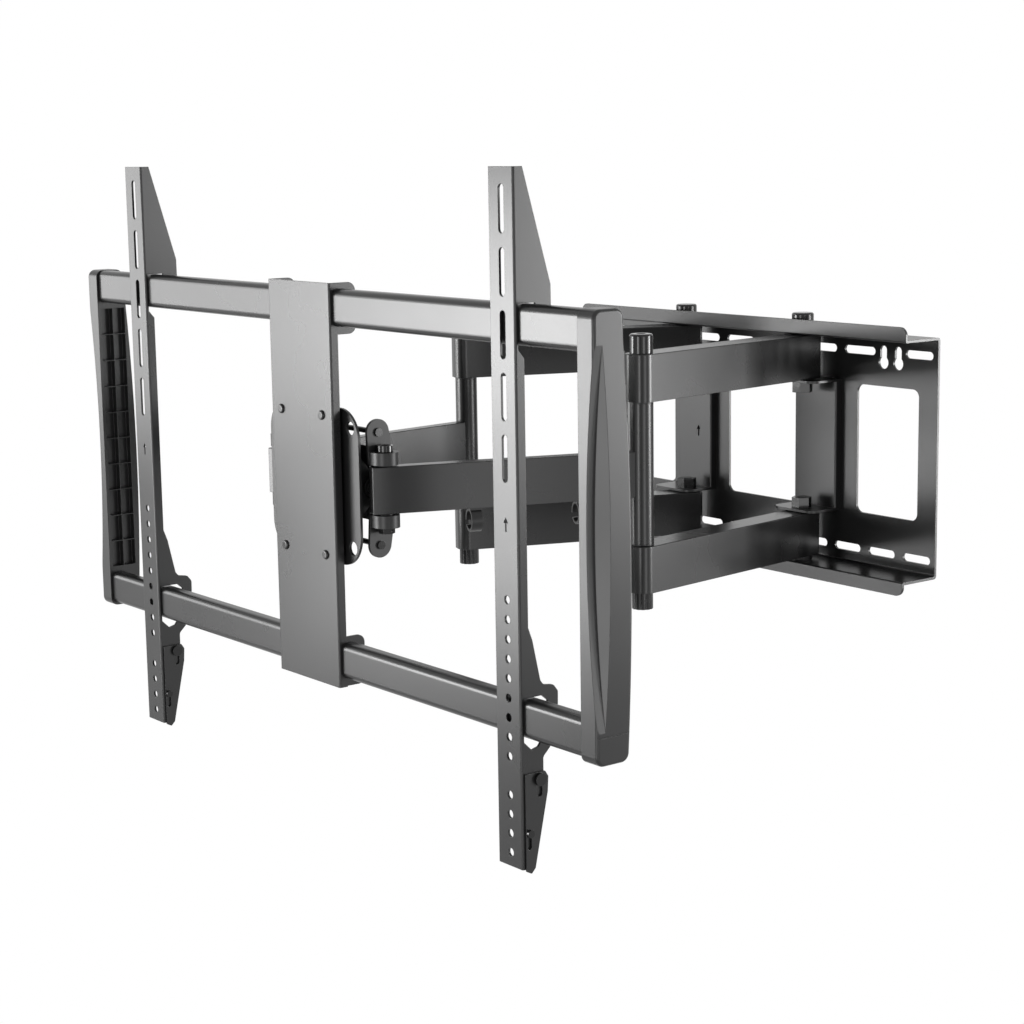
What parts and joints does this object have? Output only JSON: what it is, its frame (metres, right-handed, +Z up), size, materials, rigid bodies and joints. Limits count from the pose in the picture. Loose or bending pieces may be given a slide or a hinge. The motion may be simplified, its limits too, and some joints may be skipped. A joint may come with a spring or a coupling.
{
  "type": "full motion television wall mount",
  "caption": "Full motion wall mount for a large flat screen: slotted wall plate, twin folding arms, tilting head and a railed frame with hooked screen brackets.",
  "frame": {"origin": "middle of the wall plate's back face, on the wall", "axes": "+X right as seen from the screen's side, +Y into the wall, +Z up"},
  "size_m": [0.976, 0.6304, 0.6762],
  "materials": {
    "frame_coat": "satin powder coat, fine texture",
    "arm_coat": "satin powder coat",
    "wall_coat": "satin powder coat",
    "head_coat": "satin powder coat over castings",
    "fastener_black": "black oxide, semi-gloss",
    "moulded_plastic": "fine spark texture",
    "bearing_plastic": "smooth"
  },
  "bodies": {
    "wall": {"wall_plate": "wall_coat", "wall_column_left": "wall_coat", "wall_column_right": "wall_coat", "wall_pivot_bolts": "fastener_black", "wall_pivot_nuts": "fastener_black", "wall_pivot_washers": "bearing_plastic"},
    "right_wall_arm": {"wall_arm_right_upper": "arm_coat", "wall_arm_right_lower": "arm_coat", "wall_arm_right_bushes": "bearing_plastic", "elbow_pin_right": "fastener_black", "elbow_nut_right": "fastener_black"},
    "right_forearm": {"forearm_right": "arm_coat", "elbow_barrel_right": "arm_coat", "elbow_bushes_right": "bearing_plastic", "head_bushes_right": "bearing_plastic", "cable_clips_right": "moulded_plastic"},
    "left_wall_arm": {"wall_arm_left_upper": "arm_coat", "wall_arm_left_lower": "arm_coat", "wall_arm_left_bushes": "bearing_plastic", "elbow_pin_left": "fastener_black", "elbow_nut_left": "fastener_black"},
    "left_forearm": {"forearm_left": "arm_coat", "elbow_barrel_left": "arm_coat", "elbow_bushes_left": "bearing_plastic", "head_bushes_left": "bearing_plastic", "cable_clips_left": "moulded_plastic"},
    "swivel_head": {"swivel_bracket": "head_coat", "tilt_tie_bars": "fastener_black", "head_pivot_bolts": "fastener_black", "head_pivot_nuts": "fastener_black", "head_pivot_washers": "bearing_plastic", "tilt_pins": "fastener_black"},
    "tilt_head": {"tilt_yoke": "head_coat"},
    "screen_frame": {"level_hub": "head_coat", "level_nut": "fastener_black", "level_screws": "fastener_black", "centre_plate": "frame_coat", "centre_rivets": "fastener_black", "rail_top": "frame_coat", "rail_bottom": "frame_coat", "end_cap_left": "moulded_plastic", "end_cap_right": "moulded_plastic"},
    "left_bracket": {"bracket_left": "frame_coat", "latch_screws_left": "fastener_black"},
    "left_latch": {"latch_left": "frame_coat"},
    "right_bracket": {"bracket_right": "frame_coat", "latch_screws_right": "fastener_black"},
    "right_latch": {"latch_right": "frame_coat"}
  },
  "joints": [
    {"name": "arm_fold", "type": "hinge", "parent": "wall", "child": "right_wall_arm", "pos_m": [0.101, -0.036, 0], "axis": [0, 0, 1], "range_deg": [-4.5, 78]},
    {"name": "right_elbow", "type": "hinge", "parent": "right_wall_arm", "child": "right_forearm", "pos_m": [0.14017, -0.32031, 0], "axis": [0, 0, 1], "range_deg": [-144.51, 8.38]},
    {"name": "head_swivel", "type": "hinge", "parent": "right_forearm", "child": "swivel_head", "pos_m": [0.042, -0.59, 0], "axis": [0, 0, 1], "range_deg": [-3.88, 66.51]},
    {"name": "left_arm_fold", "type": "hinge", "parent": "wall", "child": "left_wall_arm", "pos_m": [-0.101, -0.036, 0], "axis": [0, 0, 1], "range_deg": [-66.51, 3.88]},
    {"name": "left_elbow", "type": "hinge", "parent": "left_wall_arm", "child": "left_forearm", "pos_m": [-0.19917, -0.30569, 0], "axis": [0, 0, 1], "range_deg": [-8.38, 144.51]},
    {"name": "tilt", "type": "hinge", "parent": "swivel_head", "child": "tilt_head", "pos_m": [-0.059, -0.592, 0], "axis": [-1, 0, 0], "range_deg": [-15, 5]},
    {"name": "level", "type": "hinge", "parent": "tilt_head", "child": "screen_frame", "pos_m": [-0.059, -0.614, 0], "axis": [0, 1, 0], "range_deg": [-3, 3]},
    {"name": "left_bracket_slide", "type": "slide", "parent": "screen_frame", "child": "left_bracket", "axis": [-1, 0, 0], "range_m": [-0.257, 0.08]},
    {"name": "right_bracket_slide", "type": "slide", "parent": "screen_frame", "child": "right_bracket", "axis": [1, 0, 0], "range_m": [-0.257, 0.08]},
    {"name": "left_latch_slide", "type": "slide", "parent": "left_bracket", "child": "left_latch", "axis": [0, 0, 1], "range_m": [0, 0.014]},
    {"name": "right_latch_slide", "type": "slide", "parent": "right_bracket", "child": "right_latch", "axis": [0, 0, 1], "range_m": [0, 0.014]}
  ],
  "couplings": [
    {"joint": "right_elbow", "follows": "arm_fold", "ratio": -1.852},
    {"joint": "head_swivel", "follows": "arm_fold", "ratio": 0.85201},
    {"joint": "left_arm_fold", "follows": "arm_fold", "ratio": -0.85201},
    {"joint": "left_elbow", "follows": "arm_fold", "ratio": 1.852}
  ]
}
